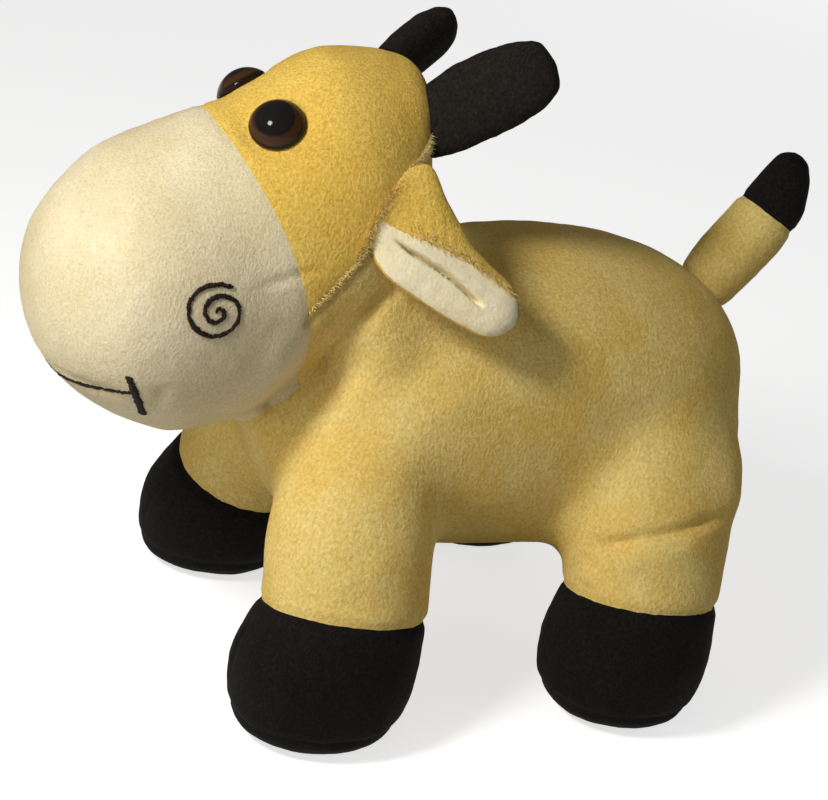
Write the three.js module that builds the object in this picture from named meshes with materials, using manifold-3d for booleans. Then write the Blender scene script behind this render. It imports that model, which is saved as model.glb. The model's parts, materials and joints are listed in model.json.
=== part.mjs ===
// A stuffed velour cow that stands on four padded hooves.
// Millimetres, +Z up. The cow faces -Y and its left side is at +X.
// Each cover is a thin open shell of velour round its own core of fibre fill. The head turns on the
// neck seam, and the ears and the tail bend at the seams that hold them.
import * as THREE from "three";
import { mergeVertices } from "three/addons/utils/BufferGeometryUtils.js";
import Module from "manifold-3d";

const wasm = await Module();
wasm.setup();

const V = (x, y, z) => new THREE.Vector3(x, y, z);
const SIDES = { left: 1, right: -1 };

// Cloth and seams
const fabric = 1.2; // velour with its pile
const seamGap = 0.3; // between touching pieces
const core = fabric + seamGap; // how far a fill lies inside the outer face
const overrun = 4; // how far a cutter runs past what it cuts
const reach = 400; // half-space cutters are this large, larger than the toy
const reliefSteps = 4; // how many cuts clear a piece over its joint's range

// Body
const bodyLength = 125.5;
const bodyHalfWidth = 34;
const bodyHalfHeight = 39;
const bodyAxisHeight = 67.5;
const rumpShare = 0.582; // how far behind the middle the body ends
const bodyLengthShares = [0, 0.15, 0.32, 0.5, 0.685, 0.86, 1];
const bodyLiftShares = [-0.04, -0.01, 0, 0, -0.01, -0.13, -0.27];
const bodyWidthShares = [0.82, 1.02, 1.02, 1.01, 1.03, 1.03, 0.78];
const bodyTopShares = [0.78, 0.97, 1.03, 1.04, 0.97, 0.5, 0.2];
const bodyUnderShares = [0.98, 1.06, 1.02, 1, 1, 0.98, 0.92];

// A place on the toy, in shares of the body's half width, its length and its axis height.
const placed = ([across, along, up]) =>
  V(across * bodyHalfWidth, along * bodyLength, up * bodyAxisHeight);

// Neck, and the plane of its seam, on which the head turns
const neckHalfWidth = 26;
const neckHalfDepth = 23.5;
const neckRootShares = [0, 0.032, 1.067];
const neckTopShares = [0, -0.398, 1.674];
const neckSeamShares = [0, -0.219, 1.415];
const neckAxis = V(0, -0.8, 0.6).normalize();

// Head and muzzle, one stuffed form that runs forwards and down
const headHalfWidth = 33;
const headHalfHeight = 35;
const headPathShares = [
  [0, -0.147, 1.778],
  [0, -0.263, 1.733],
  [0, -0.367, 1.637],
  [0, -0.478, 1.519],
  [0, -0.606, 1.43],
  [0, -0.725, 1.4],
  [0, -0.853, 1.407],
];
const headWidthShares = [0.8, 0.92, 0.86, 0.82, 0.98, 1.09, 0.95];
const headTopShares = [1.26, 1.22, 0.96, 0.97, 0.97, 0.99, 0.86];
const headUnderShares = [0.37, 0.61, 0.68, 0.94, 1.12, 0.96, 0.68];
const headSeamShares = [0, -0.303, 1.696]; // behind the face, where horns and ears are sewn in
const muzzleSeamShares = [0, -0.473, 1.643];
const muzzleFacing = V(0, -0.906, -0.423).normalize();

// Legs with their hooves. A limb's path starts inside the body and goes straight down at its end.
const limbHalfWidth = 19;
const limbHalfLength = 19.5;
const hoofHeight = 30; // from the sole to the hoof seam, at the limb's centre
const soleHeight = 7; // from the floor to the sole's seam
const floorCut = 0.5; // how deep the round sole is flattened where it stands
const soleRingShare = 0.9; // a ring this far up the cut keeps the flat of the sole wide
const limbShapes = {
  front: {
    pathShares: [
      [0.5, -0.239, 0.993],
      [0.706, -0.263, 0.815],
      [0.882, -0.279, 0.637],
      [1.029, -0.283, 0.444],
      [1.147, -0.307, 0.178],
    ],
    widthShares: [0.95, 0.97, 1, 1, 1.14, 1.1],
    frontShares: [0.75, 0.92, 1, 0.97, 1.42, 1.4],
    backShares: [0.95, 1, 1, 1, 1.12, 1.08],
  },
  hind: {
    pathShares: [
      [0.471, 0.327, 1.081],
      [0.735, 0.335, 0.889],
      [0.971, 0.327, 0.667],
      [1.118, 0.315, 0.444],
      [1.215, 0.307, 0.178],
    ],
    widthShares: [0.9, 0.94, 0.97, 1, 1.12, 1.06],
    frontShares: [1.05, 1.1, 1.05, 0.95, 1.36, 1.34],
    backShares: [1.2, 1.22, 1.1, 1, 1.08, 1.04],
  },
};

// Horns, flat pads that stand up and back from the head's seam. The left one stands a little taller.
const hornHalfWidth = 9.3;
const hornHalfThickness = 4.5;
const hornPathShares = {
  left: [
    [0.22, -0.22, 1.985],
    [0.47, -0.12, 2.15],
    [0.685, -0.025, 2.305],
  ],
  right: [
    [0.42, -0.255, 1.96],
    [0.574, -0.135, 2.14],
    [0.662, -0.052, 2.222],
  ],
};
const hornWidthShares = [0.86, 1, 0.97];
const hornSide = V(0.55, 0.29, -0.78);

// Ears: a seam along the head's side, and a folded leaf that hangs from it
const earSeamTopShares = [0.544, -0.215, 1.978];
const earSeamFootShares = [0.765, -0.315, 1.689];
const earTipShares = [1.088, -0.064, 1.481];
const earHalfThickness = 6.5;
const earRootHalfThickness = 2;
const earRootDepth = 4; // how far inside the head the leaf starts
const earWidthShares = [1, 0.84, 0.7, 0.6, 0.46];
const earThicknessShares = [0, 0.5, 0.9, 1, 0.8];
const earFoldRoot = 0.35; // where the two cloths meet, as shares of the half width towards the foot
const earFoldTip = -0.3;
const earGrooveHalfWidth = 0.8;
const earGrooveDepth = 5;
const earFlap = [-5, 30]; // how far an ear bends at its seam, inwards and outwards, in degrees

// Tail with its dark tip
const tailHalfWidth = 7.6;
const tailPathShares = [
  [0, 0.454, 1.274],
  [0, 0.546, 1.511],
  [0, 0.619, 1.711],
  [0, 0.638, 1.911],
];
const tailWidthShares = [1.2, 1.1, 1.04, 0.78];
const tailTipShare = 0.66; // where along the tail the dark tip begins
const tailPivotShares = [0, 0.482, 1.363];
const tailSwing = [-15, 15]; // how far the tail bends at its root, backwards and forwards, in degrees

// Eyes: an amber dome over a black pupil, on a ribbed stem that a washer locks inside the head
const eyeRadius = 6;
const eyeDome = 3.9;
const eyeRim = 0.9;
const pupilRadius = 4.1;
const pupilThickness = 0.7;
const stemRadius = 1.8;
const stemLength = 10;
const stemRibs = 3;
const stemRibDepth = 0.3;
const washerRadius = 6.2;
const washerThickness = 1.1;
const eyeSink = 1.6; // how deep an eye is pressed into the head
const eyeSpacing = 24.6;
const eyeAlongShare = -0.476;

// Embroidery: a spiral nostril on each side of the muzzle, and a mouth that ends in two short bars
const threadRadius = 0.55;
const threadSides = 5;
const nostrilRadius = 5.7;
const nostrilEye = 0.6; // the spiral's radius at its inner end
const nostrilTurns = 1.95;
const nostrilStart = 1.05; // where the spiral starts, in radians up from the back
const nostrilSteps = 30;
const nostrilShares = [0, -0.594, 1.508];
const mouthCentreShares = [0, -0.574, 1.422]; // inside the muzzle; the mouth is seen from here
const mouthFallShare = 0.512; // how far its corners fall below that, by how far out they lie
const mouthSagShare = 0.045; // how much further its middle falls
const mouthSpread = 1.02; // from the middle of the mouth to its corner, in radians
const mouthSteps = 20;
const cornerRise = 4; // the bar at each corner, above and below the mouth
const cornerDrop = 6;
const cornerSteps = 3;

// Cloths and plastics
const materials = {
  yellow: { color: 0xe7c765, roughness: 0.95 },
  cream: { color: 0xf1e4bd, roughness: 0.95 },
  black: { color: 0x1f1c1b, roughness: 0.95 },
  thread: { color: 0x1b1817, roughness: 0.7 },
  fill: { color: 0xf4f2ec, roughness: 1 },
  amber: { color: 0x5a3312, roughness: 0.08 },
  stem: { color: 0x0d0c0c, roughness: 0.15 },
  washer: { color: 0xe9e9e6, roughness: 0.5 },
};
for (const name of Object.keys(materials))
  materials[name] = new THREE.MeshStandardMaterial({ ...materials[name], metalness: 0 });

// Evenly spaced values from one to another.
const spaced = (steps, from, to) =>
  Array.from({ length: steps + 1 }, (_, i) => from + ((to - from) * i) / steps);

// A closed three.js geometry as a solid.
function solid(geometry) {
  const bare = geometry.clone();
  bare.deleteAttribute("normal");
  bare.deleteAttribute("uv");
  const merged = mergeVertices(bare);
  return new wasm.Manifold(
    new wasm.Mesh({
      numProp: 3,
      vertProperties: merged.attributes.position.array,
      triVerts: new Uint32Array(merged.index.array),
    }),
  );
}

// A solid as a three.js geometry.
function geometryOf(made) {
  const { vertProperties, triVerts } = made.getMesh();
  return new THREE.BufferGeometry()
    .setAttribute("position", new THREE.BufferAttribute(vertProperties, 3))
    .setIndex(new THREE.BufferAttribute(triVerts, 1));
}

// The axes across and above a tangent: across stays as near as it can to the form's side.
function ringAxes(tangent, side) {
  const across = side.clone().addScaledVector(tangent, -side.dot(tangent)).normalize();
  return { across, above: tangent.clone().cross(across) };
}

// A circle's coordinate moved outwards: a fullness below one squares the circle.
const filled = (share, fullness) => Math.sign(share) * Math.abs(share) ** fullness;

// A stuffed form: round sections along a smooth path, closed by a round end at both ends.
// Its half sizes are given at the path's points. The inset moves its whole surface inwards.
// A form that stands has one more ring, at its end ring's depth before the end of its path.
function stuffed(form, inset = 0) {
  const { sides, bluntness, fullness = 1, side = V(1, 0, 0), endRing = 0 } = form;
  const line = new THREE.CatmullRomCurve3(form.path);
  const sizes = new THREE.CatmullRomCurve3(
    form.path.map((_, i) => V(form.across[i], form.above[i], (form.below ?? form.above)[i])),
  );
  const length = line.getLength();
  const turns = spaced(form.rings, 0, Math.PI);
  if (endRing > 0) turns.splice(-1, 0, Math.acos((2 * endRing) / length - 1));
  const rings = turns.length - 1;
  const points = [];
  for (const [ring, turn] of turns.entries()) {
    const distance = inset + ((length - 2 * inset) * (1 - Math.cos(turn))) / 2;
    const at = THREE.MathUtils.clamp(distance / length, 0, 1);
    const tangent = line.getTangent(at);
    const centre = line.getPoint(at).addScaledVector(tangent, distance - at * length);
    if (ring === 0 || ring === rings) {
      points.push(...centre.toArray());
      continue;
    }
    const half = sizes.getPoint(at);
    const { across, above } = ringAxes(tangent, side);
    const round = Math.sin(turn) ** bluntness;
    for (let k = 0; k < sides; k++) {
      const angle = (2 * Math.PI * k) / sides;
      const upward = Math.sin(angle) > 0 ? half.y : half.z;
      const point = centre
        .clone()
        .addScaledVector(across, (half.x - inset) * round * filled(Math.cos(angle), fullness))
        .addScaledVector(above, (upward - inset) * round * filled(Math.sin(angle), fullness));
      points.push(...point.toArray());
    }
  }
  const faces = [];
  const last = 1 + (rings - 1) * sides;
  for (let k = 0; k < sides; k++) {
    const next = (k + 1) % sides;
    faces.push(0, 1 + next, 1 + k);
    for (let ring = 0; ring < rings - 2; ring++) {
      const here = 1 + ring * sides;
      const there = here + sides;
      faces.push(here + k, here + next, there + k, here + next, there + next, there + k);
    }
    faces.push(last, last - sides + k, last - sides + next);
  }
  const geometry = new THREE.BufferGeometry()
    .setAttribute("position", new THREE.Float32BufferAttribute(points, 3))
    .setIndex(faces);
  return solid(geometry);
}

// Everything on the side of a plane that its normal points to, at a distance from the plane.
function beyond(point, normal, distance = 0) {
  const box = new THREE.BoxGeometry(reach, reach, reach).translate(0, 0, reach / 2);
  const turn = new THREE.Quaternion().setFromUnitVectors(V(0, 0, 1), normal.clone().normalize());
  const place = point.clone().addScaledVector(normal.clone().normalize(), distance);
  return solid(box.applyQuaternion(turn).translate(...place.toArray()));
}

// The part of a solid on the side that the plane's normal points to, half a seam's gap away from it.
const keepBeyond = (made, point, normal) => made.intersect(beyond(point, normal, seamGap / 2));
const keepBehind = (made, point, normal) => keepBeyond(made, point, normal.clone().negate());

// A solid of revolution about an axis from a point. The profile's heights run along the axis.
function turned(profile, point, axis, segments) {
  const lathe = new THREE.LatheGeometry(profile.map(([r, h]) => new THREE.Vector2(r, h)), segments);
  const turn = new THREE.Quaternion().setFromUnitVectors(V(0, 1, 0), axis.clone().normalize());
  return solid(lathe.applyQuaternion(turn).translate(...point.toArray()));
}

// A round bar from one height to another along an axis from a point.
const bar = (radius, from, to, point, axis, segments) =>
  turned([[0, from], [radius, from], [radius, to], [0, to]], point, axis, segments);

const mirrored = (point, sign) => V(point.x * sign, point.y, point.z);

// A solid cut clear of its neighbour, at rest and wherever it bends about an axis through a point.
function hinged(made, neighbour, point, axis, range) {
  const turns = [0, ...spaced(reliefSteps, ...range)];
  for (const turn of turns) {
    const back = new THREE.Matrix4().makeRotationAxis(axis, -THREE.MathUtils.degToRad(turn));
    const moved = geometryOf(neighbour).translate(...point.clone().negate().toArray());
    made = made.subtract(solid(moved.applyMatrix4(back).translate(...point.toArray())));
  }
  return made;
}

const cow = new THREE.Group();

function add(name, made, material) {
  const mesh = new THREE.Mesh(geometryOf(made), materials[material]);
  mesh.name = name;
  cow.add(mesh);
  return mesh;
}

// The forms

const bodyForm = {
  path: bodyLengthShares.map((along, i) =>
    V(0, bodyLength * (rumpShare - along), bodyAxisHeight + bodyHalfHeight * bodyLiftShares[i])),
  across: bodyWidthShares.map((share) => share * bodyHalfWidth),
  above: bodyTopShares.map((share) => share * bodyHalfHeight),
  below: bodyUnderShares.map((share) => share * bodyHalfHeight),
  sides: 22,
  rings: 13,
  bluntness: 0.5,
  fullness: 0.9,
};

const neckRoot = placed(neckRootShares);
const neckTop = placed(neckTopShares);
const neckSeam = placed(neckSeamShares);
const neckForm = {
  path: [neckRoot, neckRoot.clone().lerp(neckTop, 0.5), neckTop],
  across: [neckHalfWidth, neckHalfWidth, neckHalfWidth],
  above: [neckHalfDepth, neckHalfDepth, neckHalfDepth],
  sides: 18,
  rings: 6,
  bluntness: 0.3,
};

const headSeam = placed(headSeamShares);
const muzzleSeam = placed(muzzleSeamShares);
const headForm = {
  path: headPathShares.map(placed),
  across: headWidthShares.map((share) => share * headHalfWidth),
  above: headTopShares.map((share) => share * headHalfHeight),
  below: headUnderShares.map((share) => share * headHalfHeight),
  sides: 22,
  rings: 14,
  bluntness: 0.62,
};

function limbPath(pathShares) {
  const path = pathShares.map(placed);
  path.push(path.at(-1).clone().setZ(-floorCut));
  return path;
}

const limbForm = ({ pathShares, widthShares, frontShares, backShares }, sign) => ({
  path: limbPath(pathShares).map((point) => mirrored(point, sign)),
  across: widthShares.map((share) => share * limbHalfWidth),
  above: frontShares.map((share) => share * limbHalfLength),
  below: backShares.map((share) => share * limbHalfLength),
  sides: 14,
  rings: 9,
  bluntness: 0.33,
  endRing: floorCut * soleRingShare,
});

const hornForm = (side, sign) => ({
  path: hornPathShares[side].map((shares) => mirrored(placed(shares), sign)),
  across: hornWidthShares.map((share) => share * hornHalfWidth),
  above: hornWidthShares.map((share) => share * hornHalfThickness),
  side: mirrored(hornSide, sign),
  sides: 10,
  rings: 7,
  bluntness: 0.5,
});

const tailForm = {
  path: tailPathShares.map(placed),
  across: tailWidthShares.map((share) => share * tailHalfWidth),
  above: tailWidthShares.map((share) => share * tailHalfWidth),
  sides: 12,
  rings: 8,
  bluntness: 0.55,
};

// Body: one cover for the barrel, the neck and the four legs, and a core of fill in each

const limbs = [];
for (const [which, shape] of Object.entries(limbShapes))
  for (const [side, sign] of Object.entries(SIDES))
    limbs.push({ name: `${which}_${side}`, form: limbForm(shape, sign) });

const barrel = (inset) => stuffed(bodyForm, inset).add(stuffed(neckForm, inset));
const withLimbs = (made, inset) =>
  limbs.reduce((sum, { form }) => sum.add(stuffed(form, inset)), made);

const up = V(0, 0, 1);
const floorSpace = beyond(V(0, 0, 0), up);
let bodyCover = withLimbs(barrel(0), 0).subtract(withLimbs(barrel(fabric), fabric));
bodyCover = keepBehind(bodyCover, neckSeam, neckAxis);
const hoofs = [];
for (const { name, form } of limbs) {
  const line = new THREE.CatmullRomCurve3(form.path);
  const seamShare = 1 - (hoofHeight + floorCut) / line.getLength();
  const hoofSeam = line.getPointAt(seamShare);
  const downLeg = line.getTangentAt(seamShare);
  const foot = stuffed(form, -overrun).intersect(beyond(hoofSeam, downLeg, -seamGap / 2));
  bodyCover = bodyCover.subtract(foot);
  const shell = stuffed(form, 0).subtract(stuffed(form, fabric)).intersect(floorSpace);
  hoofs.push({ name, hoof: keepBeyond(shell, hoofSeam, downLeg) });
  add(`leg_fill_${name}`, stuffed(form, core).subtract(barrel(fabric)), "fill");
}
for (const { name, hoof } of hoofs) {
  add(`hoof_cover_${name}`, keepBeyond(hoof, V(0, 0, soleHeight), up), "black");
  add(`sole_${name}`, keepBehind(hoof, V(0, 0, soleHeight), up), "black");
}
add("body_cover", bodyCover, "yellow");
add("body_fill", keepBehind(barrel(core), neckSeam, neckAxis), "fill");
const bodyGrown = barrel(-seamGap);

// Head: a yellow face cover and a cream muzzle cover round one core of fill

const skull = (inset) => stuffed(headForm, inset).add(stuffed(neckForm, inset));
const headAt = (inset) => keepBeyond(skull(inset), neckSeam, neckAxis);
const headOuter = headAt(0);
const headInner = skull(fabric);
const headGrown = skull(-seamGap);
const headShell = headOuter.subtract(headInner);

// Where a ray from outside meets the head, and which way the head faces there
const headMesh = (form) =>
  new THREE.Mesh(geometryOf(stuffed(form)), new THREE.MeshStandardMaterial({ side: THREE.DoubleSide }));
const fineHead = headMesh({ ...headForm, sides: 96, rings: 72 });
const facetHead = headMesh(headForm);
function surfaceAt(surface, from, direction) {
  const [hit] = new THREE.Raycaster(from, direction.clone().normalize()).intersectObject(surface);
  const normal = hit.face.normal.clone();
  return { point: hit.point, normal: normal.dot(direction) > 0 ? normal.negate() : normal };
}

const eyeY = bodyLength * eyeAlongShare;
const eyes = Object.entries(SIDES).map(([side, sign]) => {
  const { point, normal } = surfaceAt(fineHead, V((sign * eyeSpacing) / 2, eyeY, reach), V(0, 0, -1));
  return { side, base: point.clone().addScaledVector(normal, -eyeSink), facing: normal };
});

const roundSegments = 20;
const stemSegments = 10;
const washerDepth = fabric + 2 * seamGap;

let faceCover = keepBehind(headShell, muzzleSeam, muzzleFacing);
let headFill = headAt(core);
for (const { base, facing } of eyes) {
  const socketRadius = eyeRadius + seamGap + fabric;
  const socket = bar(socketRadius, -seamGap - fabric, overrun, base, facing, roundSegments);
  const seat = bar(eyeRadius + seamGap, -seamGap, overrun, base, facing, roundSegments);
  const hole = bar(stemRadius + seamGap, -stemLength - overrun, 0, base, facing, stemSegments);
  const nest = bar(socketRadius + seamGap, -washerDepth, overrun, base, facing, roundSegments);
  const back = -washerDepth - washerThickness - seamGap;
  const pocket = bar(washerRadius + seamGap, back, 0, base, facing, stemSegments);
  faceCover = faceCover.add(socket.intersect(headOuter)).subtract(seat).subtract(hole);
  headFill = headFill.subtract(nest).subtract(pocket).subtract(hole);
}
add("face_cover", keepBeyond(faceCover, headSeam, neckAxis), "yellow");
add("nape_cover", keepBehind(faceCover, headSeam, neckAxis), "yellow");
add("muzzle_cover", keepBeyond(headShell, muzzleSeam, muzzleFacing), "cream");
add("head_fill", headFill, "fill");

// Eyes

for (const { side, base, facing } of eyes) {
  const domeRadius = (eyeRadius ** 2 + eyeDome ** 2) / (2 * eyeDome);
  const domeSteps = 4;
  const edge = Math.asin(eyeRadius / domeRadius);
  const dome = [[eyeRadius, 0]];
  for (let i = 0; i <= domeSteps; i++) {
    const angle = edge * (1 - i / domeSteps);
    dome.push([domeRadius * Math.sin(angle), eyeRim + eyeDome - domeRadius * (1 - Math.cos(angle))]);
  }
  const recess = pupilThickness + seamGap;
  const lens = turned(
    [[0, recess], [pupilRadius + seamGap, recess], [pupilRadius + seamGap, 0], ...dome],
    base,
    facing,
    roundSegments,
  );
  add(`eye_lens_${side}`, lens, "amber");

  const ribPitch = stemLength / (stemRibs + 1);
  const stem = [[0, pupilThickness], [pupilRadius, pupilThickness], [pupilRadius, 0], [stemRadius, 0]];
  for (let rib = 1; rib <= stemRibs; rib++) {
    stem.push([stemRadius, (0.5 - rib) * ribPitch]);
    stem.push([stemRadius - stemRibDepth, -rib * ribPitch]);
  }
  stem.push([stemRadius, -stemLength + ribPitch / 2]);
  stem.push([stemRadius - stemRibDepth, -stemLength], [0, -stemLength]);
  add(`eye_stem_${side}`, turned(stem.reverse(), base, facing, stemSegments), "stem");

  const bore = stemRadius + seamGap;
  const back = -washerDepth - washerThickness;
  const washer = [[bore, back], [washerRadius, back], [washerRadius, -washerDepth], [bore, -washerDepth]];
  washer.push(washer[0]);
  add(`eye_washer_${side}`, turned(washer, base, facing, stemSegments), "washer");
}

// Horns: each cover is open where it is sewn to the head

for (const [side, sign] of Object.entries(SIDES)) {
  const form = hornForm(side, sign);
  add(`horn_cover_${side}`, stuffed(form).subtract(stuffed(form, fabric)).subtract(headGrown), "black");
  add(`horn_fill_${side}`, stuffed(form, core).subtract(headGrown), "fill");
}

// Ears: a yellow outer panel and a cream inner panel folded lengthwise

for (const [side, sign] of Object.entries(SIDES)) {
  const [top, foot, tip] = [earSeamTopShares, earSeamFootShares, earTipShares].map((shares) =>
    mirrored(placed(shares), sign));
  const root = top.clone().lerp(foot, 0.5);
  const start = root.clone().addScaledVector(tip.clone().sub(root).normalize(), -earRootDepth);
  const halfSeam = top.distanceTo(foot) / 2;
  const stations = earWidthShares.length - 1;
  const form = {
    path: earWidthShares.map((_, i) => start.clone().lerp(tip, i / stations)),
    across: earWidthShares.map((share) => share * halfSeam),
    above: earThicknessShares.map(
      (share) => earRootHalfThickness + share * (earHalfThickness - earRootHalfThickness),
    ),
    side: foot.clone().sub(top).normalize(),
    sides: 12,
    rings: 9,
    bluntness: 0.3,
  };
  const { above } = ringAxes(tip.clone().sub(root).normalize(), form.side);
  const outward = above.x * sign > 0 ? above : above.negate();
  const opening = outward.clone().add(form.side).normalize();
  const grooveReach = earHalfThickness + earGrooveDepth;
  const slit = stuffed({
    ...form,
    path: form.path.map((point) => point.clone().addScaledVector(opening, grooveReach)),
    side: opening,
    across: form.across.map(() => 2 * earGrooveDepth),
    above: form.across.map(() => earGrooveHalfWidth),
  });
  const foldRoot = root.clone().addScaledVector(form.side, earFoldRoot * halfSeam);
  const foldTip = tip.clone().addScaledVector(form.side, earFoldTip * halfSeam);
  const fold = foldTip.sub(foldRoot).cross(outward).normalize();
  if (fold.dot(form.side) < 0) fold.negate();
  const seamAxis = form.side.clone().multiplyScalar(sign);
  const leaf = hinged(stuffed(form), headGrown, root, seamAxis, earFlap);
  add(`ear_outer_${side}`, keepBehind(leaf, foldRoot, fold), "yellow");
  add(`ear_inner_${side}`, keepBeyond(leaf, foldRoot, fold).subtract(slit), "cream");
}

// Embroidery: threads that lie on the muzzle

// A thread through points that lie on the head, lifted clear of the cloth
function thread(seats) {
  const lift = threadRadius + seamGap;
  const line = new THREE.CatmullRomCurve3(
    seats.map(({ point, normal }) => point.clone().addScaledVector(normal, lift)),
  );
  const section = new THREE.Shape(
    Array.from({ length: threadSides }, (_, k) => {
      const angle = (2 * Math.PI * k) / threadSides;
      return new THREE.Vector2(threadRadius * Math.cos(angle), threadRadius * Math.sin(angle));
    }),
  );
  const steps = seats.length - 1;
  return solid(new THREE.ExtrudeGeometry(section, { extrudePath: line, steps, curveSegments: 1 }));
}

const nostril = placed(nostrilShares);
for (const [side, sign] of Object.entries(SIDES)) {
  const seats = spaced(nostrilSteps, 0, 1).map((share) => {
    const angle = nostrilStart + 2 * Math.PI * nostrilTurns * share;
    const radius = nostrilRadius + (nostrilEye - nostrilRadius) * share;
    const from = nostril.clone().add(V(sign * reach, radius * Math.cos(angle), radius * Math.sin(angle)));
    return surfaceAt(facetHead, from, V(-sign, 0, 0));
  });
  add(`nostril_stitching_${side}`, thread(seats), "thread");
}

const mouthCentre = placed(mouthCentreShares);
const mouthSeat = (out) =>
  surfaceAt(facetHead, mouthCentre.clone().addScaledVector(out.normalize(), reach), out.clone().negate());
const mouthFall = (turn) => mouthFallShare + mouthSagShare * (1 - (turn / mouthSpread) ** 2);
const mouthOut = (turn) => V(Math.sin(turn), -Math.cos(turn), -mouthFall(turn));
const mouthTurns = spaced(mouthSteps, -mouthSpread, mouthSpread);
let mouth = thread(mouthTurns.map((turn) => mouthSeat(mouthOut(turn))));
for (const sign of Object.values(SIDES)) {
  const corner = mouthSeat(mouthOut(sign * mouthSpread)).point.sub(mouthCentre);
  const heights = spaced(cornerSteps, cornerRise, -cornerDrop);
  mouth = mouth.add(thread(heights.map((height) => mouthSeat(corner.clone().add(V(0, 0, height))))));
}
add("mouth_stitching", mouth, "thread");

// Tail: a yellow cover and a dark tip round one core of fill

const tailLine = new THREE.CatmullRomCurve3(tailForm.path);
const tipSeam = tailLine.getPointAt(tailTipShare);
const tipFacing = tailLine.getTangentAt(tailTipShare);
const tailPivot = placed(tailPivotShares);
const tailRoom = (made) => hinged(made, bodyGrown, tailPivot, V(1, 0, 0), tailSwing);
const tailShell = tailRoom(stuffed(tailForm).subtract(stuffed(tailForm, fabric)));
add("tail_cover", keepBehind(tailShell, tipSeam, tipFacing), "yellow");
add("tail_tip_cover", keepBeyond(tailShell, tipSeam, tipFacing), "black");
add("tail_fill", tailRoom(stuffed(tailForm, core)), "fill");

// The frame's origin is on the floor, under the middle of the whole toy
const bounds = new THREE.Box3().setFromObject(cow);
const middle = bounds.getCenter(new THREE.Vector3());
cow.position.set(-middle.x, -middle.y, 0);

export default cow;
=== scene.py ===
"""A stuffed velour cow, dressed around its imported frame.

The body, neck and head are sewn from velour and stuffed as one figure. The figure is made once,
softened and creased at its seams, and then parted along them into its covers. Horns, ears and tail
are made on their own. Places come from the frame, in metres.
"""
import json
import math

import bmesh
import bpy
import numpy as np
from mathutils import Matrix, Vector, noise
from mathutils.bvhtree import BVHTree


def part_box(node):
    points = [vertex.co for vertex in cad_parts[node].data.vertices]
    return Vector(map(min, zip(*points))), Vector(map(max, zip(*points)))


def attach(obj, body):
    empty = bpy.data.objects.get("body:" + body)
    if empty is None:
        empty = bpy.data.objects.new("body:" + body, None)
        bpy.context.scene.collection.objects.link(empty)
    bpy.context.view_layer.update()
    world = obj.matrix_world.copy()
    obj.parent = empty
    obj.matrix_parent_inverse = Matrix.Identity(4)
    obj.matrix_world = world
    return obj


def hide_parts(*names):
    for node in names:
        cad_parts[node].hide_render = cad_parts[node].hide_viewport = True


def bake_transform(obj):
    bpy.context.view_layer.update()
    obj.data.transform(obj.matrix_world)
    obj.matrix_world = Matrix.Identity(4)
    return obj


MM = 0.001
SIDES = {"left": 1, "right": -1}
LEGS = ("front_left", "front_right", "hind_left", "hind_right")
UP = Vector((0, 0, 1))

# Camera, as the photograph was taken
CAMERA_TARGET = Vector((0.8, 0.24, 64.2)) * MM
CAMERA_DISTANCE = 480 * MM
CAMERA_AZIMUTH = math.radians(63.3)
CAMERA_ELEVATION = math.radians(24.9)
CAMERA_ROLL = math.radians(10.4)
CAMERA_LENS = 87.4
CAMERA_SENSOR = 36.0

# Light. The key stands between where the ear's shadow and where the bright shoulder put it
LIGHT_TARGET = Vector((0, 0, 0.08))
KEY_PLACE = LIGHT_TARGET + Vector((0.28, -0.72, 0.63)) * 0.42
# Each lamp's name, place, size, power and colour, and whether gloss mirrors it
LAMPS = [
    ("key", KEY_PLACE, 0.09, 1.16, (1.0, 0.98, 0.95), True),
    ("front", (0.45, -1.0, 0.24), 0.5, 2.5, (1.0, 0.985, 0.96), False),
    ("fill", (0.6, 1.2, 0.5), 0.9, 1.9, (0.98, 0.985, 1.0), False),
    ("back", (-1.0, 0.9, 0.2), 0.8, 1.8, (1.0, 1.0, 1.0), False),
]
WORLD_LIGHT = 0.1
FLOOR_REACH = 12.0
FLOOR_TONES = (0.6, 0.75)  # as other things see the floor, and as the camera sees it
FLOOR_PALENESS = 0.68  # white that the floor adds where only the camera sees it

# Stuffing and cloth
FILL_GROWTH = 0.8 * MM  # a core of fill swells this much, into its cover
FIGURE_VOXEL = 4.0 * MM
FIGURE_SOFTENING = 3
FIGURE_PLUMPNESS = 0.2 * MM  # what softening takes off, the stuffing gives back
STUFFING_PRESSURE = 4.0
STUFFING_FRAMES = 20
STUFFING_REACH = 0.9 * MM  # how far the stuffing may push the cloth
SMALL_VOXEL = 0.9 * MM
SMALL_SOFTENING = 14
SMALL_PLUMPNESS = 0.35 * MM

# Seams: depth and half width of the crease
FACE_SEAM = (0.3 * MM, 0.9 * MM)
HEAD_SEAM = (1.2 * MM, 1.1 * MM)
HOOF_SEAM = (0.9 * MM, 1.3 * MM)
SOLE_SEAM = (0.5 * MM, 1.1 * MM)
TAIL_SEAM = (0.5 * MM, 1.0 * MM)
SEAM_RAGGEDNESS = 0.22 * MM  # how far the pile makes a seam wander
SEAM_RAGGED_PITCH = 1.1 * MM
SEAM_MERGING = 0.3 * MM  # points this close by a cut become one
SEAM_REACH = 42 * MM  # no seam goes further round its middle
BORDER_ROUNDS = 3  # in each, a face joins the cover that most of its neighbours belong to
BORDER_SMOOTHING = 24  # passes over the borders that no seam has cut
MUZZLE_BACK = Vector((0, 0.906, 0.423))  # the way the muzzle's rim faces
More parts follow.
